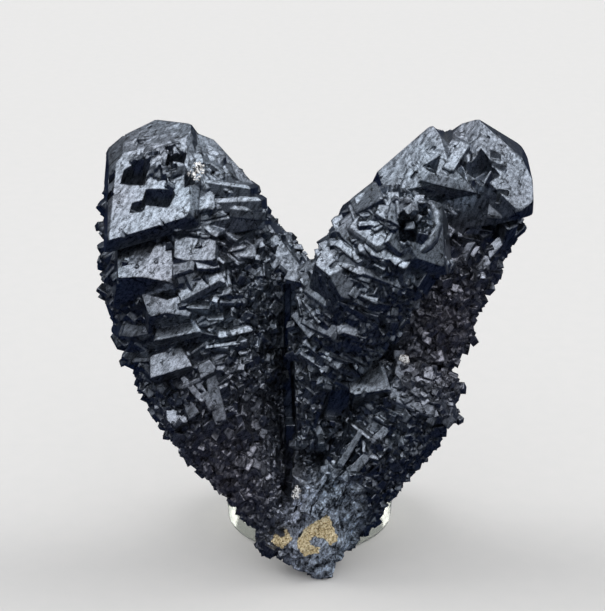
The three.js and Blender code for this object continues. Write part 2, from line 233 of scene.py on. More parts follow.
# Massive blocks, each the room inside flat faces: its middle, then each face's direction in
# degrees (0 to the front, 90 to the right; then its rise) and its distance from the middle.
BLOCKS = {
    "left cap": (
        (-17.0, 0.0, 43.5),
        [
            (-14, 44, 2.4), (42, 40, 4.4), (-35, 66, 3.0), (-64, 46, 3.9), (-80, 8, 5.1),
            (-50, 34, 3.95), (82, 22, 5.0), (84, 4, 5.2), (36, 12, 7.0), (12, -28, 8.0),
            (150, 42, 6.0), (-140, 38, 5.8), (-132, -6, 6.4), (132, -4, 6.6), (-120, -40, 6.4),
            (170, -42, 6.4), (180, 4, 6.4), (90, -74, 5.2),
        ],
    ),
    "right slope": (
        (-10.5, 1.0, 42.0),
        [
            (42, 50, 2.6), (118, 31, 2.7), (88, 14, 4.1), (4, 14, 4.4), (-90, 0, 4.0),
            (180, 20, 3.0), (90, -80, 1.6),
        ],
    ),
    "skirt": (
        (-5.0, 0.5, 33.5),
        [
            (88, 40, 2.8), (14, 34, 2.7), (0, -6, 3.6), (180, 0, 3.0), (-90, 10, 4.0),
            (0, -80, 4.6),
        ],
    ),
    "second slab": (
        (-17.6, -2.6, 34.6),
        [
            (-16, 46, 3.9), (10, 40, 4.2), (-80, 6, 3.9), (62, 20, 4.4), (-6, -30, 4.9),
            (0, 78, 3.4), (180, 0, 4.0), (84, -68, 2.6),
        ],
    ),
    "third block": (
        (-15.4, -4.0, 31.0),
        [
            (-24, 40, 3.7), (26, 38, 3.6), (-70, -6, 3.6), (64, -4, 4.0), (4, -34, 4.3),
            (0, 80, 1.8), (180, 0, 3.0), (84, -74, 2.8),
        ],
    ),
    "back finger left cube": (
        (12.0, 4.0, 43.5),
        [
            (-34, 42, 2.7), (-120, 42, 2.5), (52, 46, 4.0), (176, 40, 2.6), (-78, -6, 5.4),
            (-8, -32, 5.0), (4, 28, 4.5), (100, 0, 5.0), (-132, -4, 5.6), (180, -40, 5.2),
            (180, -10, 5.6), (0, -84, 4.2),
        ],
    ),
    "back finger right cube": (
        (18.5, 3.5, 43.5),
        [
            (-40, 42, 3.2), (26, 46, 3.0), (86, 52, 3.4), (84, 30, 4.1), (88, 0, 5.0),
            (180, 44, 4.0), (-22, 8, 4.8), (46, -6, 7.4), (20, -34, 8.0), (-100, 0, 4.6),
            (134, -4, 5.9), (150, -40, 6.0), (176, 0, 5.6), (60, -76, 5.6),
        ],
    ),
    "finger block": (
        (2.4, -9.8, 35.4),
        [
            (-8, 50, 2.6), (-46, -12, 2.5), (72, 0, 2.2), (12, 22, 2.75), (10, -40, 3.6),
            (-112, 20, 2.2), (170, 0, 4.0), (0, -80, 4.0),
        ],
    ),
    "front finger end": (
        (8.0, -8.6, 39.4),
        [
            (-36, 46, 3.0), (40, 30, 3.6), (-6, 12, 3.8), (-70, 20, 4.0), (80, 8, 5.2),
            (6, -36, 4.4), (170, 46, 3.4), (0, 84, 3.4), (180, -10, 3.6), (0, -80, 4.0),
        ],
    ),
    "root front": (
        (0.6, -7.6, 7.0),
        [
            (8, 12, 3.1), (-40, 14, 3.3), (58, 10, 3.2), (0, -16, 4.2), (-84, 0, 4.2),
            (96, 0, 3.8), (180, 0, 3.0), (0, 62, 4.3), (-58, -40, 5.0), (-20, -56, 5.2),
            (58, -46, 4.5), (0, -86, 6.4),
        ],
    ),
}  # fmt: skip

# The light ridge that curls round the bowl in the front finger's end: places along it.
RIDGE = [
    (11.6, -8.2, 42.5),
    (12.2, -9.3, 41.6),
    (12.1, -10.2, 40.4),
    (11.4, -11.0, 39.1),
    (10.4, -11.5, 38.5),
    (9.0, -11.8, 38.4),
]

# Outlines of the gold patches, walked round: x and z as seen from in front.
PATCHES = [
    [(-1.9, 4.6), (-1.0, 6.7), (0.5, 7.7), (1.5, 7.9), (2.5, 5.2), (1.6, 4.9), (1.1, 5.6),
     (-0.1, 5.9), (-0.7, 5.4), (-0.5, 4.8), (0.5, 4.6), (0.3, 3.8), (-1.1, 3.4)],
    [(-4.6, 4.3), (-3.9, 5.2), (-3.1, 5.7), (-2.6, 5.0), (-3.2, 4.3), (-3.6, 3.6), (-4.2, 3.8)],
]  # fmt: skip

# Spots of small pale crystals, outlined alike, and how many are tried for each: by the
# root's flat front, high on the left cap and low on the back finger.
SPOTS = [
    ([(-2.5, 9.4), (-2.1, 10.5), (-1.5, 10.9), (-1.5, 10.0), (-2.0, 9.1)], 900),
    (
        [(-13.5, 44.3), (-12.9, 45.2), (-12.0, 45.2), (-11.7, 44.5), (-12.3, 43.8), (-13.0, 43.8)],
        500,
    ),
    ([(9.3, 23.4), (9.5, 23.9), (9.9, 23.8), (9.8, 23.3)], 900),
]

# The largest calcite crystal, low on the back finger, with the single crystals' columns.
CALCITE = [(9.6, -5.2, 24.3, 1.1, 0.8, 1.4, 38, -14, -24, 0.8, 0.9)]

# Crystals that stand in the front finger's bowl, with the same columns.
BOWL = [
    (8.6, -9.8, 43.2, 1.4, 1.2, 1.6, 40, -10, 20, 0.8, 0.8),
    (9.7, -9.6, 42.8, 1.2, 1.5, 1.6, 46, 20, 40, 0.8, 0.8),
    (10.5, -9.3, 43.3, 1.3, 1.0, 1.6, 50, -20, 60, 0.8, 0.8),
    (9.0, -10.2, 42.0, 1.5, 1.1, 1.6, 48, 10, 10, 0.8, 0.8),
    (10.2, -9.8, 41.7, 1.0, 1.2, 1.4, 40, -24, 30, 0.8, 0.8),
    (8.4, -11.0, 42.3, 1.1, 1.0, 1.4, 50, 16, 50, 0.8, 0.8),
    (7.6, -11.2, 43.0, 1.2, 1.4, 1.6, 44, -16, 24, 0.8, 0.8),
    (9.6, -10.6, 41.0, 1.2, 0.9, 1.4, 52, 0, 0, 0.8, 0.8),
]

# Angular recesses, with the same columns.
RECESSES = [
    # left cap: angular hollows in the light slope
    (-18.8, -2.6, 45.6, 2.9, 2.2, 3.4, 8, 10, -10, 1.0, 0.8),
    (-16.1, -5.1, 43.8, 3.5, 1.7, 3.3, 8, 14, -12, 1.0, 0.8),
    (-14.3, -2.4, 46.6, 2.0, 1.5, 2.6, 8, 24, 10, 1.0, 0.8),
    (-18.1, -5.4, 42.6, 1.6, 1.2, 2.2, 8, 20, 0, 1.0, 0.8),
    (-12.9, -3.6, 44.4, 1.0, 1.4, 2.2, -8, 30, 30, 1.0, 0.8),
    (-21.6, -2.0, 44.2, 0.8, 0.9, 1.6, 8, 0, 0, 1.0, 0.8),
    (-21.7, -3.4, 42.4, 1.0, 0.8, 1.4, 8, 10, 10, 1.0, 0.8),
    # back finger's end
    (12.7, -0.6, 46.1, 2.2, 2.4, 2.4, 8, 18, 4, 1.0, 0.8),
    (15.3, 4.0, 48.7, 2.4, 11.0, 2.4, 0, 45, 0, 1.0, 1.0),
    (17.1, -0.9, 46.6, 3.4, 3.4, 3.8, 8, -18, 30, 1.0, 0.7),
    (19.8, 0.9, 47.2, 1.5, 2.0, 2.4, -8, 10, 0, 1.0, 0.8),
    (20.3, -0.2, 45.9, 2.8, 2.0, 2.0, -8, 26, 0, 1.0, 0.8),
    (20.0, -1.8, 42.2, 1.4, 1.2, 1.4, -8, 10, 0, 1.0, 0.8),
    # front finger's bowl, the hole over the root
    (9.6, -11.2, 42.6, 3.2, 4.2, 3.8, 8, 10, 22, 1.0, 0.6),
    (11.0, -10.4, 42.8, 1.6, 3.0, 2.6, 8, 10, 0, 1.0, 0.6),
    (2.8, -8.4, 22.0, 3.0, 6.6, 4.2, -6, 12, 0, 1.0, 1.0),
    # what lies below the floor
    (0.0, -6.0, 0.0, 26.0, 26.0, 6.0, 0, 0, 0, 1.0, 1.0),
    # the deep cleft between the left lobe and the fingers
    (-3.0, -4.5, 32.0, 0.8, 9.0, 9.0, 0, 0, 0, 1.0, 1.0),
    (-2.9, -6.0, 24.5, 1.3, 9.5, 9.0, 0, -2, 3, 1.0, 1.0),
    (-2.8, -7.5, 16.5, 1.2, 8.5, 8.0, 0, 3, -3, 1.0, 1.0),
]


def linear(code):
    """An sRGB hex colour as linear red, green, blue and alpha."""
    parts = [int(code[i : i + 2], 16) / 255 for i in (1, 3, 5)]
    return (*(p / 12.92 if p <= 0.04045 else ((p + 0.055) / 1.055) ** 2.4 for p in parts), 1.0)


def colour(name, description, code):
    """A colour setting."""
    return FloatVectorProperty(
        name=name,
        description=description,
        size=4,
        subtype="COLOR",
        min=0.0,
        max=1.0,
        default=linear(code),
    )


def length(name, description, mm):
    """A length setting, given in mm."""
    return FloatProperty(name=name, description=description, default=mm * MM, unit="LENGTH")


class BorniteStone(bpy.types.PropertyGroup):
    """Sizes of the crystal group."""

    core_share: FloatProperty(
        name="Core share",
        description="How much of each branch's skin its solid middle fills",
        default=0.93,
        min=0.5,
        max=1.0,
        subtype="FACTOR",
    )
    plate_size: length("Plate size", "Distance between the small plates of a middle", 1.3)
    plate_height: length("Plate height", "How far those plates stand out of each other", 0.22)
    small_least: length("Small crystals from", "Smallest of the small crystals", 0.3)
    small_most: length("Small crystals to", "Largest of the small crystals", 1.2)
    seed: IntProperty(name="Seed", description="Start of the random draws", default=7)


class BorniteColours(bpy.types.PropertyGroup):
    """Colours of the minerals, the puck and the floor."""

    grown_warm: colour("Grown faces, warm", "Bornite's warmer grey", "#7e7e87")
    grown_cool: colour("Grown faces, cool", "Bornite's cooler grey", "#919eaa")
    tarnish: colour("Tarnish", "Purple brown tarnish on bornite", "#7f7c86")
    gold_dark: colour("Gold, dark", "Chalcopyrite between its grains", "#6b5836")
    gold: colour("Gold", "Chalcopyrite", "#d2bf94")
    gold_light: colour("Gold, light", "Chalcopyrite's palest grains", "#f6ecd0")
    calcite_dark: colour("Calcite, dusty", "Calcite with dust from the stone", "#7d7670")
    calcite_light: colour("Calcite", "Clean calcite", "#ffffff")
    acrylic_dark: colour("Acrylic, dark", "The puck's greener haze", "#e2e6d8")
    acrylic_light: colour("Acrylic, light", "The puck's paler haze", "#f1f3ea")
    paper_dark: colour("Paper, dark", "The floor's darker fibres", "#c5c4c2")
    paper_light: colour("Paper, light", "The floor's paler fibres", "#c9c7c5")


class BornitePuck(bpy.types.PropertyGroup):
    """Sizes of the puck."""

    rim: length("Rim radius", "Radius at the top", PUCK_RIM)
    foot: length("Foot radius", "Radius at the floor", 9.6)
    height: length("Height", "Height of the puck", 6.5)
    edge: length("Edge radius", "Radius of its rounded edges", 0.7)


class BorniteStudio(bpy.types.PropertyGroup):
    """The lights and the camera."""

    softbox: FloatProperty(
        name="Softbox", description="Strength of the light that shines on crystals", default=2.1
    )
    softbox_width: FloatProperty(
        name="Softbox width",
        description="How wide that light looks from the stone",
        default=np.radians(76),
        subtype="ANGLE",
    )
    tent: FloatProperty(
        name="Tent", description="Strength of the even light on matt things", default=1.35
    )
    side_lights: FloatProperty(
        name="Side lights", description="Strength of each of the two low lights", default=1.5
    )
    away: length("Camera distance", "From the stone's middle to the camera", 187.0)
    rise: FloatProperty(
        name="Camera angle",
        description="How far the camera looks down",
        default=np.radians(20),
        subtype="ANGLE",
    )


def stone_shift():
    """From the tables to the frame, in metres: where the puck's round outline came to lie."""
    low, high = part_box("acrylic_puck")
    middle = np.array([(low.x + high.x) / 2, high.y - PUCK_RIM * MM, 0.0])
    return middle - np.array([*PUCK_MIDDLE, 0.0]) * MM


# ---- lines, skins and turns as whole arrays ----


def along_line(rows, t):
    """The value and the slope at shares t of a Catmull-Rom curve through the rows: a cubic
    between each two rows, with the slope at a row half the step between its neighbours."""
    rows = np.asarray(rows, float)
    last = len(rows) - 1
    u = np.clip(t, 0, 1) * last
    i = np.minimum(u.astype(int), last - 1)
    u = (u - i)[..., None]
    a, b, c, d = (rows[np.clip(i + k, 0, last)] for k in (-1, 0, 1, 2))
    p, q, r = c - a, 2 * a - 5 * b + 4 * c - d, 3 * (b - c) + d - a
    return b + 0.5 * u * (p + u * (q + u * r)), 0.5 * (p + u * (2 * q + 3 * u * r))


def unit(v):
    """Each vector over its own length."""
    return v / np.linalg.norm(v, axis=-1, keepdims=True)


def places(rows, t):
    """Middle, half width, half depth and the side, back and along directions at shares t."""
    value, slope = along_line(rows, t)
    along = unit(slope[..., :3])
    back = unit(np.array([0.0, 1.0, 0.0]) - along * along[..., 1:2])
    return value[..., :3], value[..., 3:4], value[..., 4:5], np.cross(back, along), back, along


def skin(rows, t, turn):
    """Points of a branch's skin, their outward normals and the branch's axes there: an
    ellipse carried along the line, where turn runs round it and t along the line."""
    cos, sin = np.cos(turn)[..., None], np.sin(turn)[..., None]

    def at(share):
        middle, width, depth, side, back, _ = places(rows, share)
        return middle + side * cos * width + back * sin * depth

    _, width, depth, side, back, along = places(rows, t)
    rise = at(np.minimum(t + 1e-3, 1)) - at(np.maximum(t - 1e-3, 0))
    normal = unit(np.cross(back * cos * depth - side * sin * width, rise))
    return at(t), normal, side, back, along


def turned(degrees):
    """Rotation matrices for turns about X, then Y, then Z, in degrees, one for each row."""
    (cx, cy, cz), (sx, sy, sz) = np.cos(np.radians(degrees)).T, np.sin(np.radians(degrees)).T
    rows = [
        [cy * cz, sx * sy * cz - cx * sz, cx * sy * cz + sx * sz],
        [cy * sz, sx * sy * sz + cx * cz, cx * sy * sz - sx * cz],
        [-sy, sx * cy, cx * cy],
    ]
    return np.moveaxis(np.array(rows), 2, 0)


# ---- crystals: each part is its points, its face corners and the corners in each face ----

# Steps that spread any number of places evenly over a stretch, the same way every time.
EVEN = np.array([0.7548776662, 0.5698402910])

# Crystals of more than this size, in mm, get bevels, and smaller ones one cut corner.
LARGE = 2.7

# Distance between the points of a branch's solid middle and of a massive block, in mm.
CORE_CELL = 0.62
BLOCK_CELL = 0.32

# The growth lines of all the massive blocks run up to the right.
GRAIN = np.array([0.5, 0.15, 0.85])

BOX = np.array([[x, y, z] for z in (-0.5, 0.5) for y in (-0.5, 0.5) for x in (-0.5, 0.5)])
BOX_FACES = [(0, 2, 3, 1), (0, 1, 5, 4), (0, 4, 6, 2), (4, 5, 7, 6), (2, 6, 7, 3), (1, 3, 7, 5)]
CUT_FACES = [
    (0, 2, 3, 1),
    (0, 1, 5, 4),
    (0, 4, 6, 2),
    (4, 5, 8, 7, 6),
    (2, 6, 7, 9, 3),
    (1, 3, 9, 8, 5),
    (7, 8, 9),
]


RING_FACES = [tuple(range(7, -1, -1)), tuple(range(16, 24))] + [
    (low + k, low + (k + 1) % 8, low + 8 + (k + 1) % 8, low + 8 + k)
    for low in (0, 8)
    for k in range(8)
]


def solids(points, faces, flipped):
    """Many solids of one kind: points is solid by corner by axis, and flipped says which
    solids are mirrored, whose faces run the other way."""
    count, corners = points.shape[:2]
    forward = np.concatenate([np.array(face) for face in faces])
    reverse = np.concatenate([np.array(face[::-1]) for face in faces])
    loops = np.where(flipped[:, None], reverse, forward) + corners * np.arange(count)[:, None]
    return points.reshape(-1, 3), loops.ravel(), np.tile([len(f) for f in faces], count)


def tube(points, around):
    """Rings of points joined by four-cornered faces, with a many-sided face at each end."""
    rings = len(points) // around
    row = np.arange((rings - 1) * around).reshape(rings - 1, around)
    beside = np.roll(row, -1, 1)
    quads = np.stack([row, beside, beside + around, row + around], -1)
    ends = [np.arange(around)[::-1], np.arange(around) + (rings - 1) * around]
    totals = np.concatenate([np.full(row.size, 4), [around, around]])
    return points, np.concatenate([quads.ravel(), *ends]), totals


def cut_boxes(middles, axes, sides, signs, narrow, cut):
    """Boxes with a narrower far end and one corner cut off. The three points of the cut lie
    on the corner's edges, a share along each, so that every face stays flat."""
    local = np.repeat(BOX[None], len(middles), 0)
    local[:, 4:, :2] *= narrow[:, None, :]
    peak = local[:, 7:8]
    edge_points = peak + (local[:, [6, 5, 3]] - peak) * cut[:, None, None]
    local = np.concatenate([local[:, :7], edge_points], 1) * (sides * signs)[:, None, :]
    points = np.einsum("nvk,nkc->nvc", local, axes) + middles[:, None, :]
    return solids(points, CUT_FACES, np.prod(signs, 1) < 0)


def chamfered(tops, axes, sides, back, foot, rng):
    """Large crystals, hung from the middle of their top face. The outline is a rectangle with
    its corners cut by random shares of its sides and its back edge shortened. The same
    outline, scaled, makes the foot, the rim and, a little higher and moved, the top, so that
    walls and bevels stay flat."""
    count = len(tops)
    across = np.array([1, 1, 1, 1, -1, -1, -1, -1]) / 2
    deep = np.array([-1, -1, 1, 1, 1, 1, -1, -1]) / 2
    cuts = 1 - 2 * rng.uniform(0.03, 0.34, (count, 8)) * rng.choice([0.25, 1.0], (count, 8))
    x = across * np.where([1, 0, 0, 1, 1, 0, 0, 1], cuts, 1.0)
    y = deep * np.where([0, 1, 1, 0, 0, 1, 1, 0], cuts, 1.0)
    x = x * (1 + (back[:, None] - 1) * (y + 0.5))
    ring = np.stack([x, y], -1) * sides[:, None, :2]
    bevel = rng.uniform(0.03, 0.09, count) * sides[:, :2].min(1)
    inset = 1 - 2 * bevel / sides[:, :2].min(1)
    moved = rng.uniform(-0.7, 0.7, (count, 1, 2)) * bevel[:, None, None]
    levels = np.stack([-sides[:, 2], -bevel * rng.uniform(0.5, 1.2, count), 0 * bevel], 1)
    rings = [ring * foot[:, None, None], ring, ring * inset[:, None, None] + moved]
    flat = np.stack(rings, 1)
    local = np.concatenate([flat, np.repeat(levels[:, :, None, None], 8, 2)], -1)
    points = np.einsum("nrvk,nkc->nrvc", local, axes) + tops[:, None, None, :]
    return solids(points.reshape(count, 24, 3), RING_FACES, np.zeros(count, bool))


def single_crystals(rows, rng):
    """The single large crystals or recesses, spun about their own height and leaned."""
    rows = np.array(rows, float)
    none = np.zeros(len(rows))
    spin = turned(np.stack([none, none, rows[:, 8]], 1))
    front = turned(np.stack([rows[:, 6], none, none], 1))
    right = turned(np.stack([none, rows[:, 7], none], 1))
    axes = np.swapaxes(right @ front @ spin, 1, 2)
    return chamfered(rows[:, :3], axes, rows[:, 3:6], rows[:, 9], rows[:, 10], rng)


def planes(faces):
    """The outward normals and the distances of a block's planes."""
    turn, rise, distance = np.array(faces, float).T
    turn, rise = np.radians([turn, rise])
    flat = np.cos(rise)
    return np.stack([np.sin(turn) * flat, -np.cos(turn) * flat, np.sin(rise)], 1), distance


def between_planes(middle, faces):
    """A massive block, as the room inside its planes. Its corners are the points where three
    planes meet inside all the others. A face's corners are those on its plane, in order of
    their turn round the face's middle."""
    normal, distance = planes(faces)
    trios = np.array(list(combinations(range(len(faces)), 3)))
    trios = trios[np.abs(np.linalg.det(normal[trios])) > 1e-4]
    corner = np.linalg.solve(normal[trios], distance[trios][..., None])[..., 0]
    corner = corner[np.all(corner @ normal.T < distance + 1e-6, 1)]
    corner = np.unique(np.round(corner, 5), axis=0)
    loops, totals = [], []
    for n, d in zip(normal, distance):
        on = np.flatnonzero(np.abs(corner @ n - d) < 1e-3)
        if len(on) > 2:
            way = corner[on] - corner[on].mean(0)
            level = unit(np.cross(n, [0.31, 0.17, 0.94]))
            order = np.argsort(np.arctan2(way @ np.cross(n, level), way @ level))
            loops.append(on[order])
            totals.append(len(on))
    return corner + np.array(middle), np.concatenate(loops), np.array(totals)


def plates(point, site, pitch, height, rng):
    """Heights of a surface that is broken into small flat plates: each point rises by the
    level of the nearest site, plus that site's own slope times the way from it."""
    slope = rng.normal(0, height / pitch, site.shape)
    level = rng.normal(0, height, len(site))
    nearest = (np.sum(site**2, 1) - 2 * point @ site.T).argmin(1)
    return level[nearest] + np.einsum("nc,nc->n", slope[nearest], point - site[nearest])


def massive(middle, faces, cell, rng):
    """A massive block with a worn, stepped skin. The points of a cube's grid are sent out
    from the block's middle, each as far as the nearest of its planes, moved along the
    plane's normal by plates of two sizes that lie along the grain."""
    normal, distance = planes(faces)
    n = int(np.pi / 2 * np.median(distance) / cell)
    line = np.arange(n + 1)
    i, j = (a.ravel() for a in np.meshgrid(line, line, indexing="ij"))
    grid = []
    for axis in range(3):
        for end in (0, n):
            face = np.empty((len(i), 3), int)
            face[:, axis], face[:, (axis + 1) % 3], face[:, (axis + 2) % 3] = end, i, j
            grid.append(face)
    key, where = np.unique(np.concatenate(grid) @ [1, n + 1, (n + 1) ** 2], return_inverse=True)
    spot = np.stack([key % (n + 1), key // (n + 1) % (n + 1), key // (n + 1) ** 2], 1)
    way = unit(np.tan((spot / n - 0.5) * np.pi / 2))
    toward = way @ normal.T
    reach = np.where(toward > 0.02, distance / np.maximum(toward, 0.02), np.inf)
    face = reach.argmin(1)
    flat = way * reach.min(1)[:, None]
    point = flat + face[:, None] * [31.0, 17.0, 23.0]
    along = np.outer(point @ GRAIN, GRAIN)
    point = point - along * 0.6
    rise = 0
    for pitch, height in ((2.4, 0.03), (0.8, 0.006)):
        count = int(4 * len(point) * cell**2 / pitch**2)
        site = point[rng.integers(0, len(point), count)]
        rise = rise + plates(point, site, pitch, height, rng)
    rise = np.clip(rise, -0.2, 0.15)
    # Points beside an edge are drawn onto it, so that the edge stays straight.
    own = normal[face]
    level = normal[None] - (own @ normal.T)[..., None] * own[:, None]
    slant = np.maximum(np.linalg.norm(level, axis=2), 1e-6)
    gap = (distance - flat @ normal.T) / slant
    gap[np.arange(len(face)), face] = np.inf
    beside = gap.argmin(1)
    pick = np.arange(len(face)), beside
    span = reach.min(1) * np.pi / 2 / n / np.maximum(toward[np.arange(len(face)), face], 0.4)
    near = gap[pick] < 0.6 * span
    flat[near] += (level[pick] / slant[pick][:, None] * gap[pick][:, None])[near]
    rise = np.where(near, 0, rise)[:, None]
    points = flat + way * rise / toward[np.arange(len(way)), face][:, None]
    corner = where.reshape(6, n + 1, n + 1)
    near, far = corner[:, :-1], corner[:, 1:]
    quads = np.stack([near[..., :-1], far[..., :-1], far[..., 1:], near[..., 1:]], -1)
    quads[0::2] = quads[0::2, ..., ::-1]
    quads = quads.reshape(-1, 4)
    return points + np.array(middle), quads.ravel(), np.full(len(quads), 4)


def ridge(places, wide, rng):
    """A rounded ridge along a smooth line through the places: rings of an egg-shaped profile
    that dies away towards both ends."""
    places = np.array(places)
    t = np.linspace(0, 1, 25)
    own = np.linspace(0, 1, len(places))
    line = np.stack([np.polyval(np.polyfit(own, c, 3), t) for c in places.T], 1)
    along = unit(np.gradient(line, axis=0))
    across = unit(np.cross(along, [0.35, -0.8, 0.45]))
    out = np.cross(across, along)
    turn = np.linspace(0, -2 * np.pi, 12, endpoint=False)
    size = wide * (0.25 + 0.75 * np.sin(np.pi * t) ** 0.5) * rng.uniform(0.92, 1.08, t.shape)
    ring = across[:, None] * np.cos(turn)[:, None] + out[:, None] * np.sin(turn)[:, None] * 1.5
    return tube((line[:, None] + ring * size[:, None, None]).reshape(-1, 3), len(turn))


def inside(outline, places):
    """Which places lie inside an outline as seen from in front: an odd number of its sides
    is met on the way to the right."""
    ax, az = np.array(outline).T
    bx, bz = np.roll(ax, -1), np.roll(az, -1)
    x, z = places[:, :1], places[:, 2:]
    rise = np.where(az == bz, 1, bz - az)
    meets = ax + (bx - ax) * (z - az) / rise
    return np.sum(((az > z) != (bz > z)) & (x < meets), 1) % 2 == 1


def scattered(corners, weight, count, rng):
    """Which triangles are picked at random by weight, and an even random place on each."""
    a, b, c = corners
    picked = np.searchsorted(np.cumsum(weight) / weight.sum(), rng.random(count))
    u, v = rng.random((2, count, 1))
    u, v = np.where(u + v > 1, 1 - u, u), np.where(u + v > 1, 1 - v, v)
    return picked, a[picked] * (1 - u - v) + b[picked] * u + c[picked] * v


def on_faces(part, count, rng):
    """Points spread at random over a part's faces by area, drawn in from the edges, and the
    faces' normals: each face is a fan of triangles round its first corner."""
    points, loops, totals = part
    starts = np.cumsum(totals) - totals
    fan = [
        (loops[s], loops[s + k], loops[s + k + 1])
        for s, n in zip(starts, totals)
        for k in range(1, n - 1)
    ]
    a, b, c = points[np.array(fan).T]
    middle = np.repeat(np.add.reduceat(points[loops], starts) / totals[:, None], totals - 2, 0)
    cross = np.cross(b - a, c - a)
    size = np.linalg.norm(cross, axis=1)
    picked, place = scattered((a, b, c), size, count, rng)
    return place * 0.8 + middle[picked] * 0.2, cross[picked] / size[picked, None]


def chips(part, count, small, large, depth, rng):
    """Flat chips that straddle a block's faces, to be taken away as pits. All lie along the
    block's own grain, which runs up to the right."""
    place, normal = on_faces(part, count, rng)
    grain = unit(np.cross(normal, np.cross(GRAIN, normal)))
    axes = turned(rng.normal(0, 9, (count, 3))) @ np.stack(
        [grain, np.cross(normal, grain), normal], 1
    )
    length = small * (large / small) ** rng.random(count)
    wide, high = rng.uniform(0.35, 1.0, count), rng.uniform(0.4, 1.2, count)
    sides = np.stack([length * 1.3, length * wide, 2 * depth * high], 1)
    tops = place + normal * sides[:, 2:] * 0.5
    return chamfered(tops, axes, sides, rng.uniform(0.6, 1, count), rng.uniform(0.7, 1, count), rng)


def set_on_skin(stretch, rng):
    """The crystals of one stretch, spread evenly over it. They lean outwards by sectors of
    the branch, so that neighbours grow parallel, and each is sunk until its outermost
    corner stands the wanted height out of the skin."""
    name, t0, t1, turn0, turn1, count, habit, small, large, low, high, lean, roll, wobble = stretch
    k = np.arange(count) + rng.random()
    t, turn = (k * EVEN[:, None]) % 1
    t, turn = t0 + (t1 - t0) * t, np.radians(turn0 + (turn1 - turn0) * turn)
    point, normal, side, back, along = skin(BRANCHES[name], t, turn)
    sector = np.radians(40)
    faced = (np.round(turn / sector + rng.normal(0, 0.12, count)) * sector)[:, None]
    radial = side * np.cos(faced) + back * np.sin(faced)
    lean = np.radians(lean)
    up = along * np.cos(lean) + radial * np.sin(lean)
    out = radial * np.cos(lean) - along * np.sin(lean)
    axes = np.stack([np.cross(out, up), out, up], 1)
    turns = rng.normal(0, wobble, (count, 3)) + [0, roll, 0]
    axes = turned(turns) @ axes
    size = small * (large / small) ** rng.random(count)
    sides = size[:, None] * np.array(HABITS[habit]) * rng.uniform(0.75, 1.3, (count, 3))
    facing = np.einsum("nkc,nc->nk", axes, normal)
    reach = 0.5 * np.sum(np.abs(facing) * sides, 1)
    middles = point + normal * (rng.uniform(low, high, count) - reach)[:, None]
    if large > LARGE:
        tops = middles + axes[:, 2] * sides[:, 2:] / 2
        taper, foot = rng.uniform(0.7, 1.0, (2, count))
        return chamfered(tops, axes, sides, taper, foot, rng)
    outward = np.where(facing < 0, -1.0, 1.0)
    either = rng.choice([-1.0, 1.0], (count, 3))
    signs = np.where(rng.random((count, 1)) < 0.4, outward, either)
    narrow, cut = rng.uniform(0.75, 1.0, (count, 2)), rng.uniform(0.08, 0.5, count)
    return cut_boxes(middles, axes, sides, signs, narrow, cut)


def fine_zone(places):
    """How thickly the small crystals grow at a place: thick low on the left lobe, beside the
    cleft and in the bowl, thinner on the back finger's shaft and behind, and hardly any in
    the cleft itself, on the gold patches and on the flat faces of the caps and the root."""
    x, y, z = places.T
    low = np.clip((25 - z) / 12, 0, 1)
    inner = np.clip(1 - np.abs(x + 5.4) / 4.6, 0, 1) * np.clip((37 - z) / 4, 0, 1)
    shaft = 0.6 * (x > 8) * np.clip((36 - z) / 4, 0, 1) * np.clip((z - 8) / 6, 0, 1)
    left = np.where(x < 0, low, 0.35 * low)
    behind = 0.3 * (y > 2) * np.clip((40 - z) / 6, 0, 1)
    flat = 1 - (0.95 - 0.45 * (z > 8.5)) * (np.abs(x - 0.2) < 3.6) * (y < -8) * (z < 15)
    wedge = 1 - 0.85 * (np.abs(x + 11.6) < 2.6) * (np.abs(z - 22) < 4) * (y < -6)
    bowl = 1.5 * ((x - 9.6) ** 2 + (y + 10) ** 2 + (z - 42) ** 2 < 6)
    cleft = 1 - 0.9 * (np.abs(x + 2.9) < 1.0) * (y < 0)
    gold = 1 - 0.95 * (np.abs(x + 2.6) < 2.2) * (y < -5) * (np.abs(z - 4.6) < 1.4)
    thick = left + 1.2 * inner + shaft + behind + bowl + 0.03 * (z < 38)
    return thick * flat * wedge * cleft * gold


def read(items, name, kind=np.float32, width=1):
    """One property of all of a mesh's items as an array."""
    values = np.empty(len(items) * width, kind)
    items.foreach_get(name, values)
    return values.reshape(-1, width) if width > 1 else values


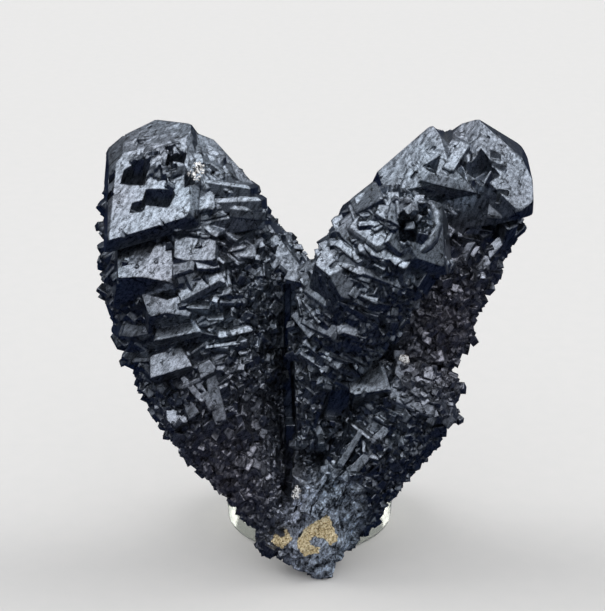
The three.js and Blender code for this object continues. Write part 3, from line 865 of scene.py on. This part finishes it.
def grains(mesh, count, zone, small, large, wobble, rise, plain, rng, outline=None):
    """Small crystals on the finished solid: boxes with a narrower far end, sunk part of the
    way into faces picked by area and by the zone's weight of a place, and turned upwards by
    the rise. Faces larger than plain, in square mm, get few. An outline keeps only those in
    front and inside it. The zone takes places in the tables' millimetres."""
    mesh.calc_loop_triangles()
    corner = read(mesh.loop_triangles, "vertices", np.int32, 3)
    face = read(mesh.loop_triangles, "polygon_index", np.int32)
    area = read(mesh.polygons, "area")
    points = read(mesh.vertices, "co", width=3)
    a, b, c = ((points - stone_shift()) / MM)[corner.T]
    cross = np.cross(b - a, c - a)
    size = np.linalg.norm(cross, axis=1)
    sparse = 1 / (1 + (area[face] / (plain * MM * MM)) ** 2)
    weight = size * sparse * zone(a)
    picked, place = scattered((a, b, c), weight, count, rng)
    normal = unit(cross[picked] / size[picked, None] + np.array([0, 0, rise]))
    if outline:
        kept = inside(outline, place) & (normal[:, 1] < -0.05)
        place, normal, count = place[kept], normal[kept], kept.sum()
    level = unit(np.cross(normal, rng.normal(0, 1, (count, 3))))
    axes = turned(rng.normal(0, wobble, (count, 3))) @ np.stack(
        [level, np.cross(normal, level), normal], 1
    )
    length = small * (large / small) ** rng.random(count)
    sides = length[:, None] * rng.uniform(0.6, 1.3, (count, 3))
    local = np.repeat(BOX[None], count, 0) * sides[:, None, :]
    local[:, 4:, :2] *= rng.uniform(0.45, 1.0, (count, 1, 2))
    out = rng.uniform(-0.35, 0.1, (count, 1)) - 0.15 * (1 + normal[:, 1:2])
    middle = place + axes[:, 2] * sides[:, 2:] * out
    points = np.einsum("nvk,nkc->nvc", local, axes) + middle[:, None, :]
    return solids(points, BOX_FACES, np.zeros(count, bool))


def core(rows, settings, rng):
    """A branch's solid middle: its skin drawn in to a share and broken into small plates."""
    pitch = settings.plate_size / MM
    height = settings.plate_height / MM
    rows = np.asarray(rows, float)
    length = np.linalg.norm(np.diff(rows[:, :3], axis=0), axis=1).sum()
    steps = int(length / CORE_CELL) + 2
    sides = int(2 * np.pi * rows[:, 3:].max() / CORE_CELL)
    t, turn = np.meshgrid(
        np.linspace(0, 1, steps), np.linspace(0, 2 * np.pi, sides, endpoint=False), indexing="ij"
    )
    point, normal, *_ = skin(rows, t.ravel(), turn.ravel())
    middle = places(rows, t.ravel())[0]
    count = int(length * 2 * np.pi * rows[:, 3:].mean() / pitch**2)
    site, *_ = skin(rows, rng.random(count), 2 * np.pi * rng.random(count))
    rise = plates(point, site, pitch, height, rng)
    points = middle + (point - middle) * settings.core_share + normal * rise[:, None]
    return tube(points, sides)


def mesh_from(name, parts, cuts=()):
    """One mesh from parts, moved into the frame. The faces of the parts in cuts are marked,
    and are taken away from the rest when the mesh is joined."""
    parts = [*parts, *cuts]
    marks = [False] * (len(parts) - len(cuts)) + [True] * len(cuts)
    offsets = np.cumsum([0] + [len(points) for points, _, _ in parts])
    points = np.concatenate([points for points, _, _ in parts]) * MM + stone_shift()
    loops = np.concatenate([loops + offset for (_, loops, _), offset in zip(parts, offsets)])
    totals = np.concatenate([totals for _, _, totals in parts])
    mesh = bpy.data.meshes.new(name)
    mesh.vertices.add(len(points))
    mesh.vertices.foreach_set("co", points.astype(np.float32).ravel())
    mesh.loops.add(len(loops))
    mesh.loops.foreach_set("vertex_index", loops.astype(np.int32))
    mesh.polygons.add(len(totals))
    mesh.polygons.foreach_set("loop_start", (np.cumsum(totals) - totals).astype(np.int32))
    flags = np.repeat(marks, [len(totals) for _, _, totals in parts])
    mesh.attributes.new("cut", "BOOLEAN", "FACE").data.foreach_set("value", flags)
    mesh.update(calc_edges=True)
    return mesh


def add_node(tree, kind, settings=None, inputs=None):
    """Adds a node, sets its properties, and fills its inputs with values or links. A node
    given as an input stands for the first output that it shows."""
    node = tree.nodes.new(kind)
    for name, value in (settings or {}).items():
        setattr(node, name, value)
    for name, value in (inputs or {}).items():
        if isinstance(value, bpy.types.Node):
            value = next(output for output in value.outputs if output.enabled)
        if isinstance(value, bpy.types.NodeSocket):
            tree.links.new(value, node.inputs[name])
        else:
            node.inputs[name].default_value = value
    return node


def joined(raw):
    """The mesh's closed islands as one solid: all that aren't marked are joined, and then
    the marked ones are taken away."""
    tree = bpy.data.node_groups.new("join_and_cut", "GeometryNodeTree")
    add = partial(add_node, tree)
    for way in ("INPUT", "OUTPUT"):
        tree.interface.new_socket("Geometry", in_out=way, socket_type="NodeSocketGeometry")
    source = add("NodeGroupInput").outputs[0]
    mark = add("GeometryNodeInputNamedAttribute", {"data_type": "BOOLEAN"}, {"Name": "cut"})
    faces = {"domain": "FACE"}
    apart = add(
        "GeometryNodeSeparateGeometry", faces, {"Geometry": source, "Selection": mark.outputs[0]}
    )
    island = add("GeometryNodeInputMeshIsland").outputs["Island Index"]
    kept, taken = (
        add("GeometryNodeSplitToInstances", faces, {"Geometry": part, "Group ID": island})
        for part in (apart.outputs["Inverted"], apart.outputs["Selection"])
    )
    union = {"operation": "UNION", "solver": "MANIFOLD"}
    union = add("GeometryNodeMeshBoolean", union, {1: kept.outputs[0]}).outputs["Mesh"]
    cut = {"operation": "DIFFERENCE", "solver": "MANIFOLD"}
    cut = add("GeometryNodeMeshBoolean", cut, {0: union, 1: taken.outputs[0]})
    add("NodeGroupOutput", None, {0: cut.outputs["Mesh"]})
    holder = bpy.data.objects.new("raw", raw)
    bpy.context.scene.collection.objects.link(holder)
    holder.modifiers.new("join", "NODES").node_group = tree
    graph = bpy.context.evaluated_depsgraph_get()
    mesh = bpy.data.meshes.new_from_object(holder.evaluated_get(graph))
    bpy.data.objects.remove(holder)
    bpy.data.meshes.remove(raw)
    bpy.data.node_groups.remove(tree)
    return mesh


def piece(name, mesh, material):
    """A finished piece in the scene, which rides on the part's one body."""
    mesh.name = name
    mesh.materials.clear()
    mesh.materials.append(material)
    made = bpy.data.objects.new(name, mesh)
    bpy.context.scene.collection.objects.link(made)
    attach(made, "root")
    return made


# ---- materials: a pattern's Scale is how many of its cells lie in a millimetre, over MM ----

COLOURS = {"data_type": "RGBA"}
DARKEN = {"data_type": "RGBA", "blend_type": "MULTIPLY"}
PLACED = {"vector_type": "TEXTURE"}
BALL = {"gradient_type": "SPHERICAL"}


def new_material(name):
    """A new material with an empty tree, and the function that adds nodes to it."""
    material = bpy.data.materials.new(name)
    material.use_nodes = True
    material.node_tree.nodes.clear()
    return material, partial(add_node, material.node_tree)


def set_stops(ramp, stops):
    """Gives a colour ramp its stops: each a share of the way and a colour."""
    elements = ramp.color_ramp.elements
    for element, (position, shade) in zip(list(elements), (stops[0], stops[-1])):
        element.position, element.color = position, shade
    for position, shade in stops[1:-1]:
        elements.new(position).color = shade


def bornite(name, roughness):
    """Bornite is a copper iron sulphide. Its grown faces are tarnished to a dull blue grey
    with a little purple, and give a soft, dark, metallic shine that a fine grain breaks up."""
    material, add = new_material(name)
    colours = bpy.context.scene.bornite_colours
    place = add("ShaderNodeTexCoord").outputs["Object"]
    # Clouds of two greys, 8 mm across.
    cloud = add("ShaderNodeTexNoise", None, {"Vector": place, "Scale": 0.13 / MM, "Detail": 3.0})
    hue = add(
        "ShaderNodeMix", COLOURS, {"Factor": cloud, 6: colours.grown_warm, 7: colours.grown_cool}
    )
    # A purple brown tarnish low on the left lobe and on the back finger's shaft.
    low, high = (
        add("ShaderNodeTexGradient", BALL, {"Vector": add("ShaderNodeMapping", PLACED, where)})
        for where in (
            {"Vector": place, "Location": (-0.0105, -0.009, 0.011), "Scale": (0.011, 0.012, 0.016)},
            {"Vector": place, "Location": (0.0145, -0.002, 0.027), "Scale": (0.009, 0.012, 0.014)},
        )
    )
    tarnish = add("ShaderNodeMath", {"operation": "MAXIMUM"}, {0: low, 1: high})
    hue = add("ShaderNodeMix", COLOURS, {"Factor": tarnish, 6: hue, 7: colours.tarnish})
    # Growth lines, 0.3 mm apart, that run up to the right as on the real faces, and specks.
    tilted = {"Vector": place, "Rotation": (-0.17, 0.5, 0.0), "Scale": (1.0, 1.0, 4.0)}
    tilted = add("ShaderNodeMapping", PLACED, tilted)
    lines = add("ShaderNodeTexNoise", None, {"Vector": tilted, "Scale": 3.2 / MM, "Detail": 2.0})
    speck = {"Vector": place, "Scale": 6.5 / MM, "Detail": 4.0, "Roughness": 0.7}
    speck = add("ShaderNodeTexNoise", None, speck)
    relief = add("ShaderNodeMath", {"operation": "MULTIPLY"}, {0: lines, 1: speck})
    worn = add("ShaderNodeMapRange", None, {"Value": relief, 1: 0.15, 2: 0.36, 3: 0.3, 4: 1.36})
    tone = add("ShaderNodeMix", DARKEN, {"Factor": 1.0, 6: hue, 7: worn})
    # Painted shade of fine cracks and pits, a millimetre or two apart, on the flat faces: thin dark
    # lines in the colour only, as the mesh has no such cracks.
    wander = add("ShaderNodeTexNoise", None, {"Vector": place, "Scale": 1.1 / MM, "Detail": 3.0})
    bent = add(
        "ShaderNodeVectorMath",
        {"operation": "MULTIPLY_ADD"},
        {0: wander.outputs["Color"], 1: (1.6 * MM,) * 3, 2: place},
    )
    cracks = {"Vector": bent, "Scale": 0.62 / MM}
    cracks = add("ShaderNodeTexVoronoi", {"feature": "DISTANCE_TO_EDGE"}, cracks)
    gaps = add("ShaderNodeMath", {"operation": "MULTIPLY_ADD"}, {0: wander, 1: 0.5, 2: cracks})
    dark = add("ShaderNodeMapRange", None, {"Value": gaps, 1: 0.215, 2: 0.25, 3: 0.25, 4: 1.0})
    tone = add("ShaderNodeMix", DARKEN, {"Factor": 1.0, 6: tone, 7: dark})
    # Worn edges, about 0.2 mm wide, which catch a thin light line.
    edges = add("ShaderNodeBevel", {"samples": 4}, {"Radius": 0.2 * MM})
    bump = {"Height": relief, "Strength": 0.24, "Distance": 0.05 * MM, "Normal": edges}
    bump = add("ShaderNodeBump", None, bump)
    # The root is a worn break: duller round its foot. Furrows 0.8 mm apart that run up to the
    # right are painted into its colour, with painted highlights on their crests and painted shade
    # in their troughs, which the bump does not follow.
    foot = {"Location": (0.0004, -0.0125, 0.0055), "Scale": (0.0062, 0.006, 0.0098)}
    foot = add("ShaderNodeMapping", PLACED, {"Vector": place, **foot})
    foot = add("ShaderNodeTexGradient", BALL, {"Vector": foot})
    matt, on_root, bare = (
        add("ShaderNodeMapRange", None, {"Value": foot, 1: low, 2: high, 3: first, 4: last})
        for low, high, first, last in (
            (0.05, 0.35, roughness, 0.72),
            (0.02, 0.3, 0.0, 1.0),
            (0.02, 0.4, 1.0, 0.7),
        )
    )
    slanted = {"Vector": place, "Rotation": (0.0, 0.55, 0.0), "Scale": (1.0, 1.0, 1.5)}
    furrows = {"Vector": add("ShaderNodeMapping", PLACED, slanted), "Scale": 1.2 / MM}
    furrows = add("ShaderNodeTexNoise", None, {**furrows, "Detail": 6.0, "Roughness": 0.78})
    # Painted highlight on the furrows' crests and painted shade in their troughs.
    backs = add("ShaderNodeMapRange", None, {"Value": furrows, 1: 0.42, 2: 0.6})
    furrow_light_and_shade = {"Factor": backs, 6: (0.05, 0.06, 0.08, 1), 7: (2.9, 2.95, 3.0, 1)}
    furrow_light_and_shade = add("ShaderNodeMix", COLOURS, furrow_light_and_shade)
    tone = add("ShaderNodeMix", DARKEN, {"Factor": on_root, 6: tone, 7: furrow_light_and_shade})
    dusty = add("ShaderNodeMath", {"operation": "MULTIPLY_ADD"}, {0: tarnish, 1: -0.1, 2: 0.97})
    metal = add("ShaderNodeMath", {"operation": "MULTIPLY"}, {0: bare, 1: dusty})
    surface = {"Base Color": tone, "Metallic": metal, "Roughness": matt, "Normal": bump}
    surface = add("ShaderNodeBsdfPrincipled", None, surface)
    add("ShaderNodeOutputMaterial", None, {"Surface": surface})
    return material


def mottled(name, noise, stops, surface):
    """A material whose colour wanders between the stops' shades with a fine noise."""
    material, add = new_material(name)
    place = add("ShaderNodeTexCoord").outputs["Object"]
    tone = {"Fac": add("ShaderNodeTexNoise", None, {"Vector": place, **noise})}
    tone = add("ShaderNodeValToRGB", None, tone)
    set_stops(tone, stops)
    surface = add("ShaderNodeBsdfPrincipled", None, {"Base Color": tone, **surface})
    add("ShaderNodeOutputMaterial", None, {"Surface": surface})
    return material


def chalcopyrite():
    """Chalcopyrite is a copper iron sulphide with more iron. Weathered as small grains, it is
    a pale, sandy gold with only a faint shine."""
    c = bpy.context.scene.bornite_colours
    return mottled(
        "Chalcopyrite, weathered grains",
        {"Scale": 4.5 / MM, "Detail": 3.0, "Roughness": 0.7},
        [(0.36, c.gold_dark), (0.48, c.gold), (0.62, c.gold_light)],
        {"Metallic": 0.12, "Roughness": 0.5},
    )


def calcite():
    """Calcite is a pale, milky mineral. Its small broken crystals are waxy and a little
    pinkish, where dust from the stone lies in their cracks."""
    c = bpy.context.scene.bornite_colours
    return mottled(
        "Calcite, small broken crystals",
        {"Scale": 5.0 / MM, "Detail": 2.0},
        [(0.38, c.calcite_dark), (0.52, c.calcite_light)],
        {"Roughness": 0.4, "IOR": 1.6},
    )


def acrylic():
    """Acrylic, cast and finely frosted: it looks milky and nearly takes the floor's colour."""
    c = bpy.context.scene.bornite_colours
    return mottled(
        "Acrylic, cast and frosted",
        {"Scale": 0.9 / MM, "Detail": 3.0},
        [(0.0, c.acrylic_dark), (1.0, c.acrylic_light)],
        {"Roughness": 0.08, "IOR": 1.49, "Transmission Weight": 0.75},
    )


def paper():
    """The floor: matt paper, which glows a little so that the shadow on it stays faint."""
    c = bpy.context.scene.bornite_colours
    return mottled(
        "Paper, matt white",
        {"Scale": 0.4 / MM, "Detail": 2.0},
        [(0.0, c.paper_dark), (1.0, c.paper_light)],
        {
            "Roughness": 0.95,
            "Specular IOR Level": 0.0,
            "Emission Color": linear("#ffffff"),
            "Emission Strength": 0.05,
        },
    )


def backdrop_card():
    """Backdrop card, lit evenly: a plain glow of the floor's own tone, as it is far behind."""
    material, add = new_material("Backdrop card, evenly lit")
    glow = add("ShaderNodeEmission", None, {"Color": linear("#ebebea")})
    add("ShaderNodeOutputMaterial", None, {"Surface": glow})
    return material


class BORNITE_OT_stone(bpy.types.Operator):
    """Makes the crystal group as one solid."""

    bl_idname = "bornite.stone"
    bl_label = "Crystal group"

    def execute(self, context):
        settings = context.scene.bornite_stone
        rng = np.random.default_rng(settings.seed)
        parts = [core(rows, settings, rng) for rows in BRANCHES.values()]
        parts += [set_on_skin(stretch, rng) for stretch in STRETCHES]
        parts.append(single_crystals(CRYSTALS, rng))
        parts += [massive(*block, BLOCK_CELL, rng) for block in BLOCKS.values()]
        pits = []
        for name, block in BLOCKS.items():
            count = 150 if name == "root front" else 12
            part = between_planes(*block)
            pits.append(chips(part, count, small=0.3, large=1.1, depth=0.3, rng=rng))
        mesh = joined(mesh_from("raw", parts, [single_crystals(RECESSES, rng), *pits]))
        mesh.shade_flat()
        grown = bornite("Bornite, tarnished grown faces", 0.29)
        stone = piece("bornite_group", mesh, grown)
        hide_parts("bornite_cluster")
        mesh = mesh_from("bornite_ridge", [ridge(RIDGE, 0.75, rng)])
        mesh.shade_smooth()
        piece("bornite_ridge", mesh, bornite("Bornite, smooth and dull", 0.5))
        return {"FINISHED"}


class BORNITE_OT_grains(bpy.types.Operator):
    """Makes the small crystals that grow all over the group, in two pieces."""

    bl_idname = "bornite.grains"
    bl_label = "Small crystals"

    def execute(self, context):
        settings = context.scene.bornite_stone
        sizes = settings.small_least / MM, settings.small_most / MM
        rng = np.random.default_rng(settings.seed + 1)
        stone = bpy.data.objects["bornite_group"]
        material = bornite("Bornite, small crystals", 0.3)
        for name, count, bottom, top, more in (
            ("fine_crystals_low", 7200, 1, 22, []),
            ("fine_crystals_high", 3800, 22, np.inf, BOWL),
        ):

            def zone(p, bottom=bottom, top=top):
                return fine_zone(p) * (p[:, 2] >= bottom) * (p[:, 2] < top)

            parts = [
                grains(stone.data, count, zone, *sizes, wobble=34, rise=0.8, plain=2.5, rng=rng)
            ]
            if more:
                parts.append(single_crystals(more, rng))
            mesh = mesh_from(name, parts)
            mesh.shade_flat()
            piece(name, mesh, material)
        return {"FINISHED"}


class BORNITE_OT_gold(bpy.types.Operator):
    """Makes the gold patches on the root and the three spots of pale crystals."""

    bl_idname = "bornite.gold"
    bl_label = "Gold patches and pale spots"

    def execute(self, context):
        rng = np.random.default_rng(context.scene.bornite_stone.seed + 2)
        stone = bpy.data.objects["bornite_group"]
        # Many are tried, because only those inside an outline are kept.
        patches = [(outline, 20000) for outline in PATCHES]
        for name, rows, small, large, material in (
            ("chalcopyrite_patch", patches, 0.15, 0.34, chalcopyrite()),
            ("calcite_specks", SPOTS, 0.14, 0.34, calcite()),
        ):
            parts = []
            for outline, count in rows:
                near = [[min(c), max(c)] for c in zip(*outline)]

                def zone(p, near=near):
                    (x0, x1), (z0, z1) = near
                    x, y, z = p.T
                    return (x > x0 - 1) * (x < x1 + 1) * (z > z0 - 1) * (z < z1 + 1) * (y < 0)

                turns = {"wobble": 40, "rise": 0, "plain": np.inf}
                parts.append(
                    grains(stone.data, count, zone, small, large, rng=rng, outline=outline, **turns)
                )
            if rows is SPOTS:
                parts.append(single_crystals(CALCITE, rng))
            mesh = mesh_from(name, parts)
            mesh.shade_flat()
            piece(name, mesh, material)
        return {"FINISHED"}


class BORNITE_OT_puck(bpy.types.Operator):
    """Makes the puck: a profile with rounded edges turned round its axis."""

    bl_idname = "bornite.puck"
    bl_label = "Acrylic puck"

    def execute(self, context):
        size = context.scene.bornite_puck
        rim, foot, high, edge = (v / MM for v in (size.rim, size.foot, size.height, size.edge))
        around, corner = 96, 9
        angle = np.linspace(0, np.pi / 2, corner)
        lower = [foot - edge + edge * np.sin(angle), edge - edge * np.cos(angle)]
        upper = [rim - edge + edge * np.cos(angle), high - edge + edge * np.sin(angle)]
        radius, height = np.concatenate([lower, upper], 1)
        turn = np.linspace(0, 2 * np.pi, around, endpoint=False)
        x = PUCK_MIDDLE[0] + radius[:, None] * np.cos(turn)
        y = PUCK_MIDDLE[1] + radius[:, None] * np.sin(turn)
        points = np.stack([x, y, height[:, None] + 0 * x], -1).reshape(-1, 3)
        part = tube(points, around)
        mesh = mesh_from("puck", [part])
        mesh.shade_smooth()
        mesh.polygons.foreach_set("use_smooth", part[2] == 4)
        puck = piece("acrylic_puck_turned", mesh, acrylic())
        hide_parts("acrylic_puck")
        return {"FINISHED"}


class BORNITE_OT_studio(bpy.types.Operator):
    """Makes the floor, the backdrop, the lights and the camera."""

    bl_idname = "bornite.studio"
    bl_label = "Studio"

    def execute(self, context):
        scene = context.scene
        settings = scene.bornite_studio
        mesh = bpy.data.meshes.new("floor")
        corners = [(x, y, 0) for x, y in ((-1, -1), (1, -1), (1, 1), (-1, 1))]
        corners = np.array(corners) * FLOOR_HALF
        mesh.from_pydata(corners.tolist(), [], [(0, 1, 2, 3)])
        mesh.materials.append(paper())
        floor = bpy.data.objects.new("floor", mesh)
        scene.collection.objects.link(floor)
        floor.visible_glossy = False

        # A pale wall far round the table, only for the eye: it gives and stops no light.
        around = 64
        turn = np.linspace(0, 2 * np.pi, around, endpoint=False)
        low = WALL_RADIUS * np.stack([np.cos(turn), np.sin(turn), 0 * turn], 1)
        here = np.arange(around)
        beside = np.roll(here, -1)
        mesh = bpy.data.meshes.new("backdrop")
        quads = np.stack([beside, here, here + around, beside + around], 1)
        ring = np.concatenate([low, low + (0, 0, WALL_HEIGHT)])
        mesh.from_pydata(ring.tolist(), [], quads.tolist())
        mesh.materials.append(backdrop_card())
        wall = bpy.data.objects.new("backdrop", mesh)
        scene.collection.objects.link(wall)
        wall.visible_diffuse = wall.visible_glossy = wall.visible_shadow = False
        wall.visible_transmission = wall.visible_volume_scatter = False

        world = bpy.data.worlds.new("studio")
        scene.world = world
        world.use_nodes = True
        world.node_tree.nodes.clear()
        add = partial(add_node, world.node_tree)
        # Bright overhead and darkening to deep blue at the table, which gives the crystals'
        # faces their range from pale to nearly black.
        way = add("ShaderNodeTexCoord").outputs["Generated"]
        rise = add("ShaderNodeSeparateXYZ", None, {0: way}).outputs["Z"]
        share = add("ShaderNodeMapRange", None, {"Value": rise, 1: -0.1, 2: 1.0})
        ramp = add("ShaderNodeValToRGB", None, {"Fac": share})
        greys = [
            (position, (level * 0.96, level, level * 1.06, 1))
            for position, level in ((0.25, 0.1), (0.4, 0.27), (0.62, 0.48))
        ]
        table = [(0.075, (0.004, 0.011, 0.04, 1)), (0.095, (0.03, 0.052, 0.1, 1))]
        set_stops(ramp, [*table, *greys, (0.9, (0.52, 0.54, 0.57, 1))])
        light = add("ShaderNodeBackground", None, {"Color": ramp, "Strength": 1.0})
        add("ShaderNodeOutputWorld", None, {"Surface": light})

        # The softbox shines on the crystals only, and the others only light matt things. Two
        # low ones shine in under the group, so that only its foot casts a dark shadow.
        low = settings.side_lights
        for name, strength, width, turns, hidden in (
            ("softbox", settings.softbox, settings.softbox_width, (6, 0, 0), "visible_diffuse"),
            ("tent", settings.tent, np.radians(180), (45, 0, 0), "visible_glossy"),
            ("right light", low, np.radians(40), (54, 0, 105), "visible_glossy"),
            ("left light", low, np.radians(40), (54, 0, -105), "visible_glossy"),
        ):
            lamp = bpy.data.lights.new(name, "SUN")
            lamp.angle, lamp.energy = width, strength
            sun = bpy.data.objects.new(name, lamp)
            sun.rotation_euler = np.radians(turns)
            setattr(sun, hidden, False)
            scene.collection.objects.link(sun)

        camera = bpy.data.cameras.new("camera")
        camera.lens = 100
        camera.clip_start = 0.01
        holder = bpy.data.objects.new("camera", camera)
        scene.collection.objects.link(holder)
        scene.camera = holder
        away = Vector((0, -np.cos(settings.rise), np.sin(settings.rise)))
        holder.location = LOOKED_AT + away * settings.away
        holder.rotation_euler = (-away).to_track_quat("-Z", "Y").to_euler()
        scene.view_settings.view_transform = "Standard"
        return {"FINISHED"}


class BORNITE_PT_parts(bpy.types.Panel):
    """Lists the pieces and their sizes."""

    bl_idname = "BORNITE_PT_parts"
    bl_label = "Bornite"
    bl_space_type = "VIEW_3D"
    bl_region_type = "UI"
    bl_category = "Bornite"

    def draw(self, context):
        for group in GROUPS:
            settings = getattr(context.scene, group)
            for name in settings.bl_rna.properties.keys():
                if name not in ("rna_type", "name"):
                    self.layout.prop(settings, name)
        for step in STEPS:
            self.layout.operator(step.bl_idname)


STEPS = (
    BORNITE_OT_stone,
    BORNITE_OT_grains,
    BORNITE_OT_gold,
    BORNITE_OT_puck,
    BORNITE_OT_studio,
)
GROUPS = {
    "bornite_stone": BorniteStone,
    "bornite_colours": BorniteColours,
    "bornite_puck": BornitePuck,
    "bornite_studio": BorniteStudio,
}
CLASSES = (*GROUPS.values(), *STEPS, BORNITE_PT_parts)


def register():
    for kind in CLASSES:
        bpy.utils.register_class(kind)
    for name, kind in GROUPS.items():
        setattr(bpy.types.Scene, name, PointerProperty(type=kind))


def unregister():
    for name in GROUPS:
        delattr(bpy.types.Scene, name)
    for kind in reversed(CLASSES):
        bpy.utils.unregister_class(kind)


def main():
    """Makes every piece and the studio."""
    register()
    bpy.ops.bornite.stone()
    bpy.ops.bornite.grains()
    bpy.ops.bornite.gold()
    bpy.ops.bornite.puck()
    bpy.ops.bornite.studio()


if __name__ == "__main__":
    main()
